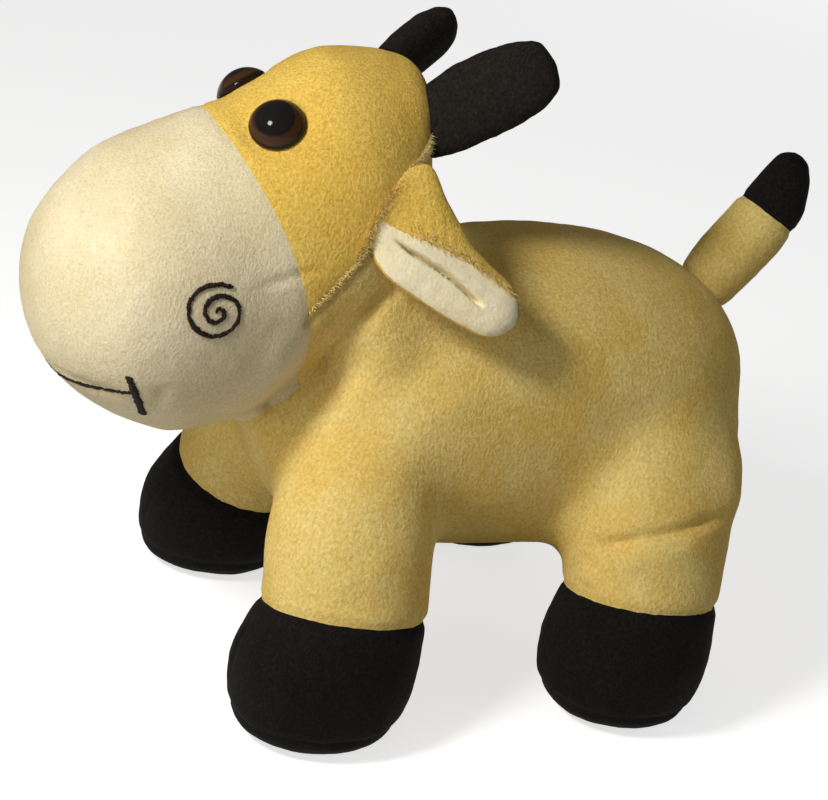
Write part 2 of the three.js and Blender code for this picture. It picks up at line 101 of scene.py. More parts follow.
# The muzzle's seam is sewn on a curve: backwards at the cheeks, forwards over brow and throat
MUZZLE_BOW = 2.6 * MM
MUZZLE_BOW_MOST = 3.0 * MM
MUZZLE_BOW_RISE = 24 * MM
MUZZLE_BOW_CENTRE = 5.9 * MM  # above the seam's middle
COVER_STEP = 4 * MM  # how far across a bowed seam its other cover is looked for
PILE_LUMPS = 0.1 * MM
PILE_LUMP_PITCH = 2.4 * MM

# Folds and darts of the left side, mirrored to the right: depth, half width and places in mm. A negative
# depth stands out.
FOLDS = {
    "cheek dart": (0.9, 0.8, [
        (27, -38, 110), (26.8, -43.5, 108.3), (27, -50.4, 106.4), (27.6, -56, 104.6)]),
    "jowl": (-1.3, 4.5, [
        (26.5, -46, 97), (24.5, -46.5, 90), (22.5, -47.5, 84), (20.5, -49, 78), (17, -51, 74)]),
    "chin dimple": (0.8, 1.3, [
        (28.8, -71.9, 84), (28.0, -71.9, 81.8), (26.1, -71.7, 77.5), (24.0, -71.0, 74.5)]),
    "mouth tuck": (0.7, 1.6, [
        (26.4, -77.8, 80.9), (21.9, -82.9, 79.2), (16, -88.4, 78.8), (8, -93.5, 77.6), (0, -95, 77)]),
    "haunch fold": (1.7, 1.5, [
        (38.5, 32.5, 44.5), (42, 34.7, 45.9), (46.4, 39.7, 49.6), (48.9, 50.2, 52.8), (46.4, 60.5, 54.2),
        (40, 70, 52.5)]),
    "thigh roll": (-0.8, 3.0, [(43, 34.5, 41.5), (47.5, 40.5, 45), (50, 50, 48), (47, 61, 49)]),
    "inner heel": (4.2, 6.0, [
        (30, 32, 6), (26.5, 38, 5.2), (25.8, 44, 4.4), (25.8, 50, 4), (27, 56, 3.7), (31, 63, 4)]),
    "rump roll": (-2.4, 8.0, [
        (15, 79, 73), (21.5, 76.5, 67), (29, 73, 63), (36.5, 68.5, 60), (41.4, 66.5, 55), (43, 64, 49)]),
    "hock roll": (-0.8, 3.0, [(40.6, 33.2, 40), (41.5, 32.9, 34.5)]),
    "hoof seam": (0.6, 0.8, [(32, -44.6, 29.5), (33.5, -48, 24), (35.5, -50.5, 18), (36.2, -51.5, 8)]),
    "neck fold": (2.4, 1.9, [
        (26.3, -15, 107.5), (25, -23, 102.3), (23.9, -26.9, 96.4), (20.3, -29.4, 89.2), (13, -30.5, 79.5),
        (10.4, -32.8, 72.1), (7, -37, 67)]),
    "shoulder roll": (-1.9, 6.0, [
        (25.3, -14.2, 96.7), (24.6, -18.7, 90.3), (22.4, -22, 81.5), (22.4, -27.1, 74.4),
        (24.4, -31.6, 67.1), (30.2, -36.2, 60.3)]),
}
FOLD_FADING = 0.3  # share of a fold's length over which it fades at each end
# Two that cross the middle: the crown behind the eyes, and the seam that closes the chest
CROWN = (-3.2, 6.0, [
    (-17, -17, 127), (-15, -16, 131), (-12, -15, 137), (-8.5, -15.2, 141.5), (-4, -16, 144),
    (0, -16.5, 145), (4, -16, 144), (8.5, -15.2, 141.5), (12, -15, 137), (15, -16, 131), (17, -17, 127)])
CHEST_SEAM = (0.8, 0.9, [(0, -42, 58), (0, -39.5, 53.5), (0, -36.5, 47), (0, -32, 40)])

# How deep the horns and the tail are set into what carries them
ROOT_DEPTH = 3.0 * MM
ROOT_REACH = 8.0 * MM

# Tail: the way it leaves the body, and the way its tip's rim faces
TAIL_WAY = Vector((0, 0.55, 0.83))
TAIL_TIP_BACK = Vector((0, -0.4, -0.9))

# Ear, in mm along its run from the head's seam: the leaf's edges and the border between its cloths,
# as heights down the seam, with the slit between its two lips
EAR_STATIONS = [-3, 0, 3, 6, 9, 12, 15, 18, 24, 30, 35.5]
EAR_UPPER_EDGE = [-5.0, -9.2, -9.6, -7.2, -4.8, -3.2, -1.6, 0.2, 1.9, 2.9, 4.6]
EAR_LOWER_EDGE = [10.5, 13.2, 15.2, 16.1, 16.5, 16.6, 16.7, 16.8, 16.7, 16.3, 15.6]
EAR_BORDER = [6.9, 6.8, 6.5, 6.0, 5.7, 5.4, 4.9, 4.5, 4.7, 5.2, 5.6]
EAR_SLIT = [8.0, 8.2, 8.6, 9.1, 9.2, 9.1, 9.2, 9.4, 10.5, 12.0, 13.0]
EAR_LENGTH = EAR_STATIONS[-1]
EAR_TIP_ROUNDING = 6.5
EAR_FRONT = 3.9
EAR_BACK = 2.6
EAR_THICKENING = (0.75, 10)  # share of the thickness at the root, and where the whole is reached
EAR_BORDER_WAVES = ((5.3, 0, 0.14), (8.9, 1, 0.1))  # rate, start and height of the border's raggedness
EAR_WRINKLE = 0.14
EAR_SLIT_RUN = (2.0, 27.0)
EAR_SLIT_OPENING = (7, 3)  # runs over which the slit opens and closes
EAR_SLIT_DEPTH = 3.8
EAR_SLIT_HALF_WIDTH = 0.48
EAR_RIM_TURN = 0.94 * math.pi  # where the yellow cloth wraps round to the front along the lower edge
EAR_CLOTH = 0.9 * MM
EAR_SEGMENTS = (124, 90)  # round and along

# Eyes
EYE_RADIUS = 6.0 * MM
EYE_DOME = 3.5 * MM
EYE_RIM = 0.9 * MM
EYE_SUNK = 0.2 * MM
EYE_EDGE = (0.3 * MM, 0.1 * MM)  # width and height of the dome's lower edge
EYE_STEPS = 14
EYE_SEAT = 7.4 * MM  # the cloth is pulled in within this radius
EYE_SEAT_DEPTH = 0.3 * MM
PUPIL_RADIUS = 4.25 * MM

# Embroidery: widths of the thread, lean of its stitches, and the places of its lines in mm
NOSTRIL_THREAD = 1.4 * MM
MOUTH_THREAD = 1.25 * MM
CORNER_THREAD = 1.65 * MM
LINE_PITCH = 0.42  # from stitch to stitch, of the thread's width
CORNER_PITCH = 0.22
NOSTRIL_LEAN = 0.7
MOUTH_LEAN = 0.6
CORNER_LEAN = 1.1
STITCH_SHAPE = (0.9, 0.38, 0.4)  # along, across and up, of the thread's width
STITCH_SCALE = 0.62
# Its spiral: turns in degrees, from outside to inside, and its radius in mm at each
NOSTRIL_TURNS = [64, 100, 143, 178, 219, 251, 308, 351, 384, 428, 503, 551, 631, 697, 833]
NOSTRIL_RADII = [6.1, 6.1, 7.1, 6.6, 5.6, 5.1, 5.2, 5.3, 4.8, 3.7, 3.3, 2.7, 2.0, 1.6, 0.6]
NOSTRIL_PLACE = Vector((0, 1.4, -1.7)) * MM  # from the middle of its CAD node
MOUTH_CENTRE = -60 * MM  # along the toy: the mouth is laid round the upright line there
MOUTH_CORNER_TURN = 56  # degrees from straight ahead
MOUTH_CORNER_HEIGHT = 80.9
MOUTH_MIDDLE_HEIGHT = 77.0
MOUTH_STEPS = 60  # places along the mouth
MOUTH_PARTS = ((0, 21, 1.0), (20, 40, 0.5), (39, MOUTH_STEPS, 1.0))  # from and to a place, and share of width
MOUTH_BAR = [(27.7, -79.3, 85.0), (26.8, -77.5, 80.9), (25.3, -75.8, 77.6), (22.4, -73.6, 74.1)]

# Loose pile that stands up along the seams of the head and the ears, and along the ears' borders
TUFT_LENGTH = 1.6 * MM
TUFT_WIDTH = 0.1 * MM
TUFT_ROOT = 0.25 * MM
TUFT_WOBBLE_SCALE = 3000
HEAD_TUFTS = 5200
EAR_TUFTS = 650
EAR_LINE_TUFTS = 900
EAR_LINE_WIDTH = 1.8 * MM
# On the face's side of the left ear's root, in mm
EAR_LINE = [
    (14.8, -14.9, 132.9), (17.5, -17.2, 131.3), (20.6, -20.0, 129.5), (22.6, -22.7, 127.2),
    (24.7, -25.9, 124.4), (25.8, -28.2, 120.9), (26.4, -29.5, 117.7), (26.9, -30.4, 114.8),
    (27.3, -32.2, 112.2)]

# Velour: how its tufts and rows are stretched, and the pitch of its fibres and of its patches of painted nap
# shade
TUFTS_HANGING = (1.25, 1.0, 0.75)
ROWS_ACROSS = (0.45, 0.45, 1.7)
FIBRE_PITCH = 0.22 * MM
PATCH_PITCH = 17 * MM

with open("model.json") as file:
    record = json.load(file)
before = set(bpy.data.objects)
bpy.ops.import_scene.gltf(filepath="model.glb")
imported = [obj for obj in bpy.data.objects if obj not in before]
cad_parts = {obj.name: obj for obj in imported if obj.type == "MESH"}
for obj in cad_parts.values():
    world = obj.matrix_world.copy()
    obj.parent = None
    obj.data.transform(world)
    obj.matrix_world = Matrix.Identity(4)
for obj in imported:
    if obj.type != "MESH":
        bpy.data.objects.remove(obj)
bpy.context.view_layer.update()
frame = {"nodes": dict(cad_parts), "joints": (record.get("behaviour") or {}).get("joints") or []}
joints = {joint["name"]: joint for joint in frame["joints"]}


def joint_place(name):
    """A joint's point and axis."""
    return Vector(joints[name]["pos_m"]), Vector(joints[name]["axis"]).normalized()


# Meshes


def copies(nodes, growth=0.0):
    """Copies of CAD nodes in one mesh, merged, and grown along their normals."""
    bm = bmesh.new()
    for node in nodes:
        bm.from_mesh(frame["nodes"][node].data)
    bmesh.ops.remove_doubles(bm, verts=bm.verts, dist=0.001 * MM)
    bm.normal_update()
    for vert in bm.verts:
        vert.co += vert.normal * growth
    return bm


def absorb(whole, part):
    """Moves a mesh into another one."""
    mesh = bpy.data.meshes.new("part")
    part.to_mesh(mesh)
    part.free()
    whole.from_mesh(mesh)
    bpy.data.meshes.remove(mesh)


def in_scene(name, data):
    """A new object in the scene, at the origin."""
    obj = bpy.data.objects.new(name, data)
    bpy.context.scene.collection.objects.link(obj)
    return obj


def as_object(name, bm):
    """A new object of a mesh, smooth shaded."""
    mesh = bpy.data.meshes.new(name)
    bm.to_mesh(mesh)
    bm.free()
    mesh.shade_smooth()
    return in_scene(name, mesh)


def apply_modifiers(obj):
    """Bakes an object's modifiers into its mesh."""
    bpy.context.view_layer.update()
    evaluated = obj.evaluated_get(bpy.context.evaluated_depsgraph_get())
    mesh = bpy.data.meshes.new_from_object(evaluated)
    old = obj.data
    obj.modifiers.clear()
    obj.data = mesh
    bpy.data.meshes.remove(old)
    mesh.shade_smooth()
    return obj


def stuffed(name, covers, fills, voxel, softening):
    """Covers and their cores of fill as one closed soft form."""
    bm = copies(covers)
    absorb(bm, copies(fills, FILL_GROWTH))
    obj = as_object(name, bm)
    remesh = obj.modifiers.new("voxels", "REMESH")
    remesh.mode = "VOXEL"
    remesh.voxel_size = voxel
    soften = obj.modifiers.new("soften", "SMOOTH")
    soften.factor = 0.5
    soften.iterations = softening
    return apply_modifiers(obj)


def points_of(obj):
    """An object's points and normals as arrays."""
    count = len(obj.data.vertices)
    points, normals = np.zeros(count * 3), np.zeros(count * 3)
    obj.data.vertices.foreach_get("co", points)
    obj.data.vertices.foreach_get("normal", normals)
    return points.reshape(-1, 3), normals.reshape(-1, 3)


def set_points(obj, points):
    obj.data.vertices.foreach_set("co", np.asarray(points, float).ravel())
    obj.data.update()


def smoothstep(values):
    share = np.clip(values, 0, 1)
    return share * share * (3 - 2 * share)


def stuff(obj):
    """Lets stuffing press a form's cloth outwards, no further than it may reach."""
    before, _ = points_of(obj)
    cloth = obj.modifiers.new("stuffing", "CLOTH")
    cloth.settings.quality = 4
    cloth.settings.use_pressure = True
    cloth.settings.uniform_pressure_force = STUFFING_PRESSURE
    cloth.settings.effector_weights.gravity = 0
    cloth.point_cache.frame_start = 1
    cloth.point_cache.frame_end = STUFFING_FRAMES
    for step in range(1, STUFFING_FRAMES + 1):
        bpy.context.scene.frame_set(step)
    apply_modifiers(obj)
    bpy.context.scene.frame_set(1)
    after, _ = points_of(obj)
    move = after - before
    length = np.linalg.norm(move, axis=1)
    reach = STUFFING_REACH * np.tanh(length / STUFFING_REACH)
    set_points(obj, before + move * (reach / np.maximum(length, 1e-9))[:, None])


def gathered(items, make, batch=80):
    """A mesh of many small shapes, in batches, because an operator slows down as its mesh grows."""
    whole = bmesh.new()
    for first in range(0, len(items), batch):
        part = bmesh.new()
        for item in items[first:first + batch]:
            make(part, item)
        absorb(whole, part)
    return whole


def refine(obj, levels):
    """Divides a mesh into smaller, smoother faces."""
    finer = obj.modifiers.new("finer", "SUBSURF")
    finer.levels = finer.render_levels = levels
    return apply_modifiers(obj)


def plump(obj, distance):
    """Moves the whole surface outwards."""
    points, normals = points_of(obj)
    set_points(obj, points + normals * distance)


def lump(obj, seed):
    """Lets the pile make the surface uneven."""
    points, normals = points_of(obj)
    offset = Vector((seed, seed * 0.7, -seed))
    heights = np.array([noise.noise(Vector(point) / PILE_LUMP_PITCH + offset) for point in points])
    set_points(obj, points + normals * (heights * PILE_LUMPS)[:, None])


def tree_of(obj):
    return BVHTree.FromObject(obj, bpy.context.evaluated_depsgraph_get())


# Seams and covers


def rim(node, towards, share=0.9):
    """The flat rim of a CAD piece that faces a way: its middle, and the way it faces."""
    mesh = frame["nodes"][node].data
    rims = {}  # faces by their plane, told apart by 0.01 in the normal and 0.1 mm in place
    for face in mesh.polygons:
        if face.normal.dot(towards) > share:
            plane = tuple(round(c, 2) for c in (*face.normal, face.normal.dot(face.center) / MM / 10))
            rims.setdefault(plane, []).append(face)
    faces = max(rims.values(), key=lambda group: sum(face.area for face in group))
    area = sum(face.area for face in faces)
    middle = sum((face.center * face.area for face in faces), Vector()) / area
    normal = sum((face.normal * face.area for face in faces), Vector()).normalized()
    return middle, normal


class Labels:
    """Says which CAD node lies nearest to a point."""

    def __init__(self, nodes):
        verts, faces, self.names = [], [], []
        for node in nodes:
            mesh = frame["nodes"][node].data
            first = len(verts)
            verts.extend(vert.co.copy() for vert in mesh.vertices)
            faces.extend([first + i for i in face.vertices] for face in mesh.polygons)
            self.names.extend([node] * len(mesh.polygons))
        self.tree = BVHTree.FromPolygons(verts, faces)

    def at(self, point):
        return self.names[self.tree.find_nearest(point)[2]]


class Seam:
    """A sewn line, where a form meets a plane, or a sheet that bows away from one."""

    def __init__(self, rim, nodes, sizes, bow=0.0):
        self.middle, self.normal = (np.array(vector) for vector in rim)
        self.nodes = nodes
        self.depth, self.half_width = sizes
        self.bow = bow
        upwards = np.array(UP) - self.normal * self.normal[2]
        self.upwards = upwards / max(np.linalg.norm(upwards), 1e-6)

    def bend(self, points):
        """How far from its plane the seam runs."""
        rise = ((points - self.middle) @ self.upwards - MUZZLE_BOW_CENTRE) / MUZZLE_BOW_RISE
        return np.maximum(self.bow * (1 - rise**2), -MUZZLE_BOW_MOST) if self.bow else rise * 0

    def away(self, points):
        return (points - self.middle) @ self.normal - self.bend(points)

    def near(self, points, distance):
        """Which points lie by the seam."""
        within = np.linalg.norm(points - self.middle, axis=-1) < SEAM_REACH
        return within & (np.abs(self.away(points)) < distance)


def crease(obj, seams, labels):
    """Pulls the cloth in along its seams."""
    points, normals = points_of(obj)
    moved = points.copy()
    for seam in seams:
        pull = seam.depth * np.exp(-((seam.away(points) / seam.half_width) ** 2))
        for i in np.flatnonzero(seam.near(points, 3 * seam.half_width)):
            if labels.at(points[i]) in seam.nodes:
                moved[i] -= normals[i] * pull[i]
    set_points(obj, moved)


def along_line(points, line):
    """How far each point lies from a line of points, and how far along the line it is, from 0 to 1."""
    nearest, shares = np.full(len(points), np.inf), np.zeros(len(points))
    for i, (start, end) in enumerate(zip(line, line[1:])):
        start, run = np.array(start), np.array(end) - np.array(start)
        share = np.clip((points - start) @ run / (run @ run), 0, 1)
        distance = np.linalg.norm(points - start - share[:, None] * run, axis=1)
        shares = np.where(distance < nearest, (i + share) / (len(line) - 1), shares)
        nearest = np.minimum(nearest, distance)
    return nearest, shares


def smooth_line(places, steps=6):
    """A line in metres through given places in mm, rounded at its corners."""
    places = [Vector(place) * MM for place in places]
    ends = [2 * places[0] - places[1], *places, 2 * places[-1] - places[-2]]
    line = []
    for a, b, c, d in zip(ends, ends[1:], ends[2:], ends[3:]):
        for i in range(steps):
            t = i / steps
            line.append(0.5 * (2 * b + (c - a) * t + (2 * a - 5 * b + 4 * c - d) * t**2
                               + (3 * b - a - 3 * c + d) * t**3))
    return [*line, places[-1]]


def fold(obj, depth, half_width, places):
    """Draws the cloth in along a line, fading out at the line's ends."""
    line = smooth_line(places)
    points, normals = points_of(obj)
    distance, share = along_line(points, line)
    fading = smoothstep(np.minimum(share, 1 - share) / FOLD_FADING)
    pull = np.exp(-((distance / (half_width * MM)) ** 2)) * fading
    set_points(obj, points - normals * (pull * depth * MM)[:, None])


def mirrored(places):
    """Places of the left side on the right side."""
    return [(-x, y, z) for x, y, z in places]


def on_side(vector, side):
    """A place or a way of the left side, on the side that is asked for."""
    return Vector((vector.x * SIDES[side], vector.y, vector.z))


def cut(bm, seam, labels):
    """Cuts a form's faces along a seam, ragged as pile makes it."""
    centres = np.array([face.calc_center_median() for face in bm.faces])
    faces = [face for face, near in zip(bm.faces[:], seam.near(centres, FIGURE_VOXEL)) if near]
    faces = [face for face in faces if labels.at(face.calc_center_median()) in seam.nodes]
    verts = list(dict.fromkeys(vert for face in faces for vert in face.verts))
    edges = list(dict.fromkeys(edge for face in faces for edge in face.edges))
    normal = Vector(seam.normal)
    for vert in verts:
        vert.co -= normal * float(seam.bend(np.array(vert.co)))
    geometry = [*verts, *edges, *faces]
    made = bmesh.ops.bisect_plane(bm, geom=geometry, dist=1e-7, plane_co=seam.middle, plane_no=normal)
    line = [item for item in made["geom_cut"] if isinstance(item, bmesh.types.BMVert)]
    verts = list(dict.fromkeys([*verts, *line]))
    bmesh.ops.remove_doubles(bm, verts=verts, dist=SEAM_MERGING)
    verts, line = ([vert for vert in group if vert.is_valid] for group in (verts, line))
    sewn = bm.verts.layers.int["sewn"]
    for vert in line:
        vert.co += normal * (noise.noise(vert.co / SEAM_RAGGED_PITCH) * SEAM_RAGGEDNESS)
        vert[sewn] = 1
    for vert in verts:
        vert.co += normal * float(seam.bend(np.array(vert.co)))


def cover_at(point, seams, labels):
    """The CAD cover that a point of the form belongs to. A bowed seam parts its first cover from the rest."""
    name = labels.at(point)
    for seam in seams:
        if seam.bow and name in seam.nodes:
            behind = seam.away(np.array(point)) > 0
            if (name == seam.nodes[0]) == behind:
                name = labels.at(point + Vector(seam.normal) * (COVER_STEP if behind else -COVER_STEP))
    return name


def even_borders(bm, owner, sewn):
    """Evens out the borders between covers where no seam has cut them."""
    for _ in range(BORDER_ROUNDS):
        for face in bm.faces:
            others = [other[owner] for edge in face.edges for other in edge.link_faces if other is not face]
            most = max(sorted(set(others)), key=others.count)
            if 2 * others.count(most) > len(others):
                face[owner] = most
    beside = {}
    for edge in bm.edges:
        if len({face[owner] for face in edge.link_faces}) > 1:
            one, other = edge.verts
            beside.setdefault(one, []).append(other)
            beside.setdefault(other, []).append(one)
    loose = [(vert, *pair) for vert, pair in beside.items() if len(pair) == 2 and not vert[sewn]]
    for _ in range(BORDER_SMOOTHING):
        places = [vert.co.lerp((one.co + other.co) / 2, 0.5) for vert, one, other in loose]
        for (vert, *_), place in zip(loose, places):
            vert.co = place


def parted(obj, seams, labels, covers):
    """Parts a soft form along its seams into one closed piece for each cover."""
    bm = bmesh.new()
    bm.from_mesh(obj.data)
    sewn = bm.verts.layers.int.new("sewn")
    for seam in seams:
        cut(bm, seam, labels)
    owner = bm.faces.layers.int.new("cover")
    order = {node: index for index, nodes in enumerate(covers.values()) for node in nodes}
    for face in bm.faces:
        face[owner] = order[cover_at(face.calc_center_median(), seams, labels)]
    even_borders(bm, owner, sewn)
    pieces = {}
    for index, name in enumerate(covers):
        piece = bm.copy()
        layer = piece.faces.layers.int["cover"]
        bmesh.ops.delete(piece, geom=[f for f in piece.faces if f[layer] != index], context="FACES")
        rims = [edge for edge in piece.edges if edge.is_boundary]
        for edge in rims:
            edge.smooth = False
        filled = bmesh.ops.holes_fill(piece, edges=rims, sides=0)
        bmesh.ops.triangulate(piece, faces=filled["faces"])
        piece.faces.layers.int.remove(layer)
        piece.verts.layers.int.remove(piece.verts.layers.int["sewn"])
        pieces[name] = as_object(name, piece)
    bm.free()
    bpy.data.objects.remove(obj)
    return pieces


def set_in(obj, root, outward):
    """Lengthens a form's root, so that it goes into what carries it."""
    points, _ = points_of(obj)
    away = (points - np.array(root)) @ np.array(outward)
    sink = ROOT_DEPTH * smoothstep(1 - away / ROOT_REACH)
    set_points(obj, points - np.outer(sink, np.array(outward)))


# Materials


def linear(red, green, blue):
    """A display colour, 0 to 255, as the shader takes it."""
    def one(value):
        value /= 255
        return value / 12.92 if value <= 0.04045 else ((value + 0.055) / 1.055) ** 2.4
    return one(red), one(green), one(blue), 1.0


class Nodes:
    """The nodes of a material or of the world, and the one that they lead to."""

    def __init__(self, owner, end):
        owner.use_nodes = True
        self.nodes, self.links = owner.node_tree.nodes, owner.node_tree.links
        self.end = self.nodes[end]

    def feed(self, node, inputs):
        """Gives a node's inputs, by name or number, a value or another node's output."""
        for key, value in inputs.items():
            if isinstance(value, bpy.types.NodeSocket):
                self.links.new(value, node.inputs[key])
            else:
                node.inputs[key].default_value = value

    def add(self, kind, output, inputs, **settings):
        """Adds a node, and gives one of its outputs."""
        node = self.nodes.new(f"ShaderNode{kind}")
        for name, value in settings.items():
            setattr(node, name, value)
        self.feed(node, inputs)
        return node.outputs[output]

    def math(self, operation, *values):
        return self.add("Math", 0, dict(enumerate(values)), operation=operation)

    def vector(self, operation, output, *values):
        return self.add("VectorMath", output, dict(enumerate(values)), operation=operation)

    def stretched(self, coordinates, scale):
        return self.add("Mapping", "Vector", {"Vector": coordinates, "Scale": scale})

    def noise(self, coordinates, pitch, detail, roughness=0.5):
        inputs = {"Vector": coordinates, "Scale": 1 / pitch, "Detail": detail, "Roughness": roughness}
        return self.add("TexNoise", "Fac", inputs)

    def ramp(self, factor, stops):
        node = self.nodes.new("ShaderNodeValToRGB")
        elements = node.color_ramp.elements
        while len(elements) < len(stops):
            elements.new(0.5)
        for element, (place, colour) in zip(elements, stops):
            element.position = place
            element.color = colour
        self.feed(node, {"Fac": factor})
        return node.outputs["Color"]

    def multiplied(self, one, other):
        """One colour times another."""
        return self.add("Mix", 2, {0: 1.0, 6: one, 7: other}, data_type="RGBA", blend_type="MULTIPLY")

    def bump(self, height, strength, distance):
        inputs = {"Height": height, "Strength": strength, "Distance": distance}
        self.feed(self.end, {"Normal": self.add("Bump", "Normal", inputs)})

    def gloss(self, coordinates, roughness):
        """A gloss with faint handling marks."""
        marks = self.noise(coordinates, 1.5 * MM, 3.0)
        inputs = {"Value": marks, "To Min": roughness * 0.6, "To Max": roughness * 1.4}
        self.feed(self.end, {"Roughness": self.add("MapRange", "Result", inputs)})


def new_material(name):
    """A new material, its nodes, and the coordinates of what wears it."""
    material = bpy.data.materials.new(name)
    nodes = Nodes(material, "Principled BSDF")
    return material, nodes, nodes.add("TexCoord", "Object", {})


def velour(name, shade, middle, light, nap_shade, pitch, bump, sheen):
    """Short brushed pile on a knit: tufts in faint rows, fibres, and patches of painted shade where the nap
    turns.
    """
    material, nodes, coordinates = new_material(name)
    pitch *= MM
    tufts = nodes.noise(nodes.stretched(coordinates, TUFTS_HANGING), 1.15 * pitch, 3.0, 0.62)
    rows = nodes.noise(nodes.stretched(coordinates, ROWS_ACROSS), pitch, 1.0)
    fibres = nodes.noise(coordinates, FIBRE_PITCH, 1.0)
    height = nodes.math("MULTIPLY_ADD", rows, 0.25, tufts)
    height = nodes.math("MULTIPLY_ADD", fibres, 0.3, height)
    tuft_colour = nodes.ramp(height, [
        (0.55, linear(*shade)), (0.775, linear(*middle)), (1.0, linear(*light))])
    # Patches at random places get the nap shade colour: painted shade for pile that lies another way
    patches = nodes.noise(coordinates, PATCH_PITCH, 3.0)
    patch_tone = nodes.ramp(patches, [(0.36, linear(*nap_shade)), (0.62, (1, 1, 1, 1))])
    nodes.bump(height, bump, 0.5 * MM)
    nodes.feed(nodes.end, {
        "Base Color": nodes.multiplied(tuft_colour, patch_tone),
        "Roughness": 0.95,
        "Specular IOR Level": 0.15,
        "Sheen Weight": sheen,
        "Sheen Roughness": 0.35,
        "Sheen Tint": linear(*light),
    })
    return material


def plastic(name, colour, roughness):
    """Moulded plastic."""
    material, nodes, coordinates = new_material(name)
    nodes.gloss(coordinates, roughness)
    nodes.feed(nodes.end, {"Base Color": linear(*colour)})
    return material


def eye_plastic(name, middle, axis):
    """A glossy dome: a black pupil in a dark amber ring, seen through clear plastic."""
    material, nodes, coordinates = new_material(name)
    offset = nodes.vector("SUBTRACT", "Vector", coordinates, middle)
    across = nodes.vector("CROSS_PRODUCT", "Vector", offset, axis)
    share = nodes.math("DIVIDE", nodes.vector("LENGTH", "Value", across), EYE_RADIUS)
    depth = nodes.noise(coordinates, 2.5 * MM, 2.0)
    share = nodes.math("MULTIPLY_ADD", depth, 0.05, share)
    edge = PUPIL_RADIUS / EYE_RADIUS + 0.025
    colour = nodes.ramp(share, [
        (edge - 0.02, linear(28, 25, 24)),
        (edge + 0.03, linear(60, 40, 22)),
        (0.95, linear(66, 45, 26)),
        (1.0, linear(34, 26, 18))])
    nodes.gloss(coordinates, 0.08)
    nodes.feed(nodes.end, {"Base Color": colour, "Specular IOR Level": 0.13})
    return material


def thread(name):
    """Dark satin embroidery thread, with strands that shine a little and brown specks that are painted
    glints.
    """
    material, nodes, coordinates = new_material(name)
    strands = nodes.noise(coordinates, 0.25 * MM, 2.0)
    # The brown on the strands' high places is a painted glint
    colour = nodes.ramp(strands, [(0.48, linear(13, 11, 11)), (0.75, linear(84, 58, 40))])
    nodes.bump(strands, 0.6, 0.2 * MM)
    nodes.feed(nodes.end, {"Base Color": colour, "Roughness": 0.7, "Specular IOR Level": 0.2})
    return material


# Each velour's shade, middle and light tuft colours, the colour of its painted nap shade, its pitch in mm,
# bump and sheen
yellow = velour(
    "yellow velour", (216, 183, 100), (234, 206, 124), (246, 225, 152), (250, 240, 214), 0.65, 0.65, 0.25)
head_yellow = velour(
    "head velour", (208, 166, 72), (231, 194, 92), (245, 216, 122), (250, 243, 226), 0.55, 0.6, 0.2)
cream = velour(
    "cream velour", (218, 202, 159), (234, 221, 182), (244, 233, 203), (247, 243, 235), 0.5, 0.5, 0.2)
ear_cream = velour(
    "ear cream velour", (238, 224, 182), (246, 235, 198), (252, 244, 214), (253, 250, 240), 0.6, 0.35, 0.3)
# Loose pile is painted paler than the cloth it stands on: painted light for fibre tips that catch the lamps
loose_pile_painted_light = velour(
    "loose pile painted light", (238, 208, 124), (248, 226, 152), (254, 240, 184), (255, 250, 236), 0.5, 0.3, 0.45)
black = velour(
    "black velour", (15, 13, 12), (23, 20, 19), (34, 31, 28), (235, 235, 235), 0.6, 0.8, 0.1)
horn_black = velour(
    "horn velour", (22, 19, 17), (33, 29, 26), (46, 42, 38), (235, 235, 235), 0.6, 0.8, 0.1)
black_thread = thread("black thread")
pupil_black = plastic("eye black", (14, 12, 12), 0.2)
natural_plastic = plastic("washer plastic", (232, 232, 228), 0.45)


def paint(obj, material):
    obj.data.materials.clear()
    obj.data.materials.append(material)


# The figure: body, legs, neck and head

neck_point, neck_axis = joint_place("head_turn")
muzzle_rim = rim("muzzle_cover", MUZZLE_BACK)
head_back, head_normal = rim("face_cover", -neck_axis)

figure_seams = [
    Seam(muzzle_rim, ("muzzle_cover", "face_cover", "nape_cover"), FACE_SEAM, MUZZLE_BOW),
    Seam((head_back, head_normal), ("face_cover", "nape_cover"), HEAD_SEAM),
]
for leg in LEGS:
    low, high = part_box(f"sole_{leg}")
    sole_top = (low.x + high.x) / 2, (low.y + high.y) / 2, high.z
    figure_seams.append(Seam(rim(f"hoof_cover_{leg}", UP), (f"hoof_cover_{leg}", "body_cover"), HOOF_SEAM))
    figure_seams.append(Seam((sole_top, UP), (f"hoof_cover_{leg}", f"sole_{leg}"), SOLE_SEAM))

figure_covers = {
    "torso": ["body_cover", "nape_cover"],
    "face": ["face_cover"],
    "muzzle": ["muzzle_cover"],
    **{f"hoof_{leg}": [f"hoof_cover_{leg}"] for leg in LEGS},
    **{f"hoof_sole_{leg}": [f"sole_{leg}"] for leg in LEGS},
}
figure_nodes = [node for nodes in figure_covers.values() for node in nodes]
figure_fills = ["body_fill", "head_fill", *(f"leg_fill_{leg}" for leg in LEGS)]


def eye_place(side):
    """The middle of an eye's back, and the way the eye looks."""
    back, inward = rim(f"eye_lens_{side}", -UP, 0.5)
    return back, -inward


def seat_eye(obj, side):
    """Presses the cloth in where an eye is drawn tight by its washer."""
    back, facing = (np.array(vector) for vector in eye_place(side))
    points, _ = points_of(obj)
    offset = points - back
    height = offset @ facing
    radius = np.linalg.norm(offset - np.outer(height, facing), axis=1)
    near = (radius < EYE_SEAT + 4 * MM) & (np.abs(height) < 8 * MM)
    pull = 1 - smoothstep((radius - EYE_RADIUS + 0.6 * MM) / (EYE_SEAT - EYE_RADIUS + 2.2 * MM))
    change = np.where(near, pull * (-EYE_SEAT_DEPTH - height), 0)
    set_points(obj, points + np.outer(change, facing))


